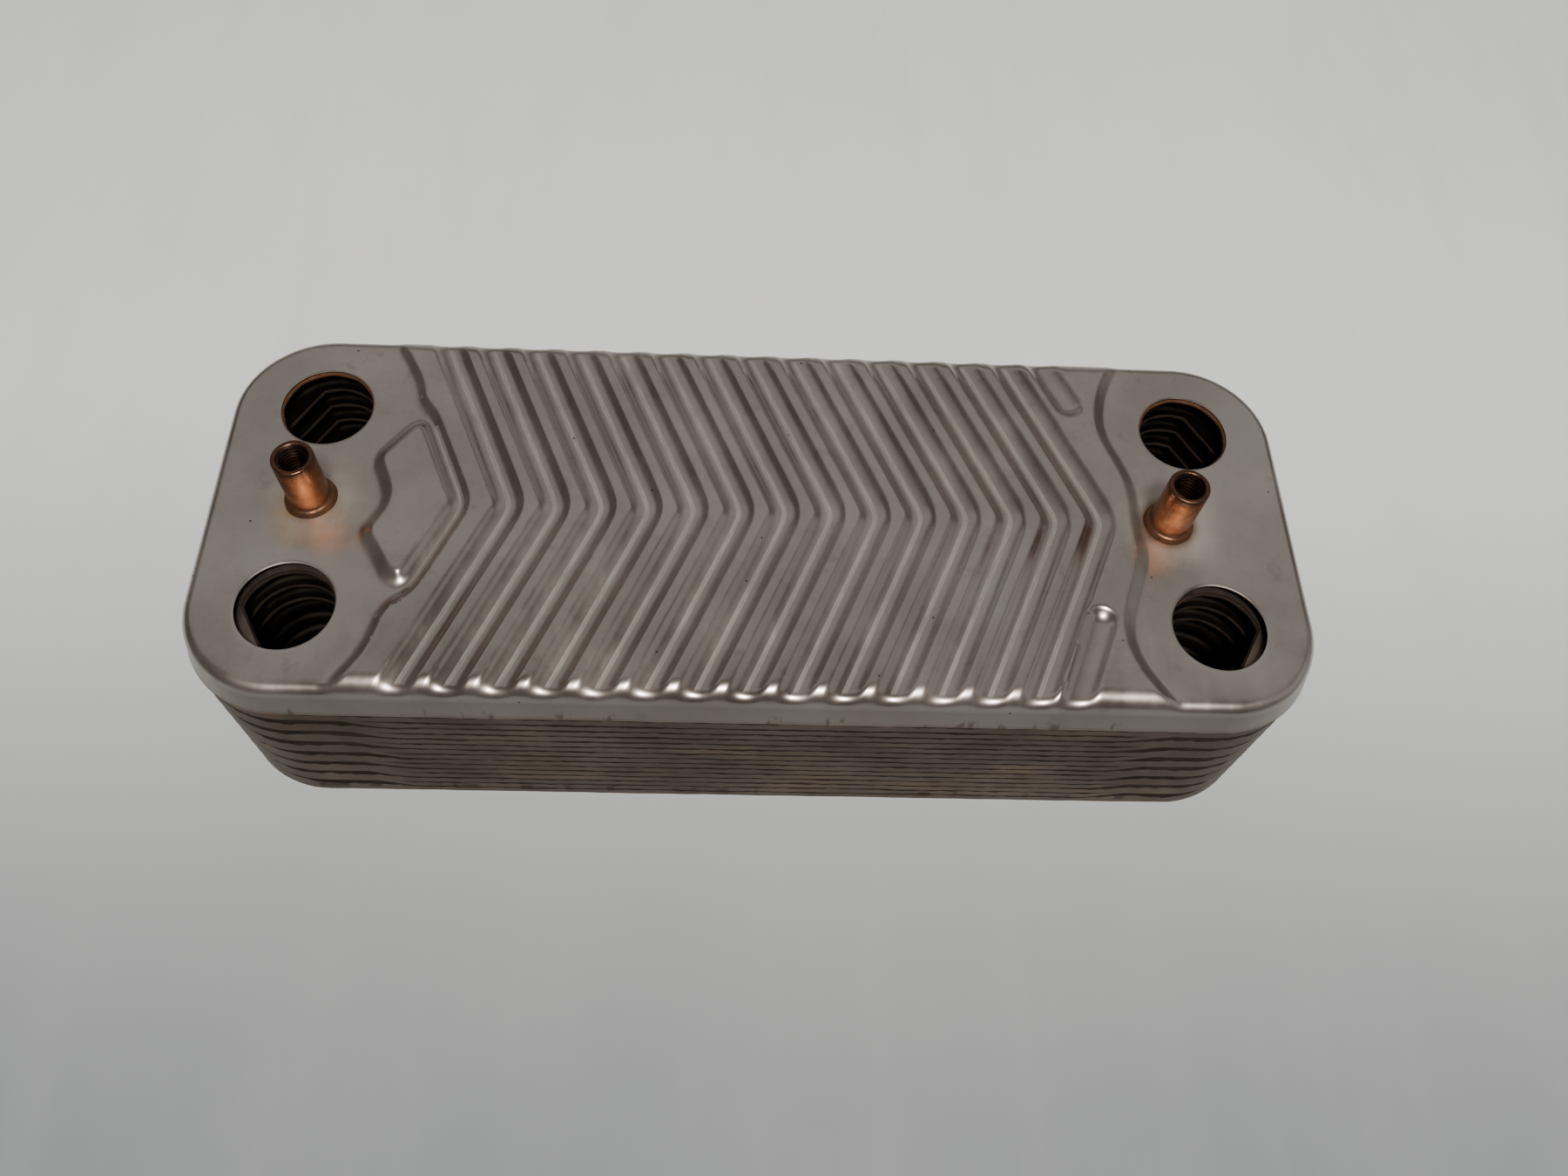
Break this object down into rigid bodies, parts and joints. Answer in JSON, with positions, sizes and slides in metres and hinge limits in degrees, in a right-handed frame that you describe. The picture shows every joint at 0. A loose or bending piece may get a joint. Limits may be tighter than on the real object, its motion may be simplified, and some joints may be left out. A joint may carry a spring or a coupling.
{
  "type": "plate heat exchanger",
  "caption": "Brazed plate heat exchanger: nested pressed steel plates with chevron grooves, a port near each corner, and threaded mounting sleeves on the front.",
  "frame": {"origin": "on the surface that the exchanger lies on, under the centre of the port pattern", "axes": "+X along the plates towards the tips of the front chevrons, +Y across them, +Z out of the front plate"},
  "size_m": [0.1892, 0.0732, 0.0517],
  "materials": {
    "cover_steel": "satin pressed stainless sheet with faint stains",
    "plate_steel": "dull stainless sheet, browned along its edges",
    "sleeve_copper": "copper-coated steel, browned at the rim",
    "braze_copper": "dark oxidised copper braze"
  },
  "bodies": {
    "root": {"front_cover_plate": "cover_steel", "channel_plate_01": "plate_steel", "channel_plate_02": "plate_steel", "channel_plate_03": "plate_steel", "channel_plate_04": "plate_steel", "channel_plate_05": "plate_steel", "channel_plate_06": "plate_steel", "channel_plate_07": "plate_steel", "channel_plate_08": "plate_steel", "channel_plate_09": "plate_steel", "channel_plate_10": "plate_steel", "channel_plate_11": "plate_steel", "channel_plate_12": "plate_steel", "channel_plate_13": "plate_steel", "channel_plate_14": "plate_steel", "back_end_plate": "plate_steel", "edge_braze_01": "braze_copper", "edge_braze_02": "braze_copper", "edge_braze_03": "braze_copper", "edge_braze_04": "braze_copper", "edge_braze_05": "braze_copper", "edge_braze_06": "braze_copper", "edge_braze_07": "braze_copper", "edge_braze_08": "braze_copper", "edge_braze_09": "braze_copper", "edge_braze_10": "braze_copper", "edge_braze_11": "braze_copper", "edge_braze_12": "braze_copper", "edge_braze_13": "braze_copper", "edge_braze_14": "braze_copper", "edge_braze_15": "braze_copper", "port_braze_far_left_01": "braze_copper", "port_braze_far_left_03": "braze_copper", "port_braze_far_left_05": "braze_copper", "port_braze_far_left_07": "braze_copper", "port_braze_far_right_01": "braze_copper", "port_braze_far_right_03": "braze_copper", "port_braze_far_right_05": "braze_copper", "port_braze_far_right_07": "braze_copper", "port_braze_near_left_02": "braze_copper", "port_braze_near_left_04": "braze_copper", "port_braze_near_left_06": "braze_copper", "port_braze_near_right_02": "braze_copper", "port_braze_near_right_04": "braze_copper", "port_braze_near_right_06": "braze_copper", "mounting_sleeve_left": "sleeve_copper", "mounting_sleeve_right": "sleeve_copper", "sleeve_braze_left": "sleeve_copper", "sleeve_braze_right": "sleeve_copper"}
  },
  "joints": []
}
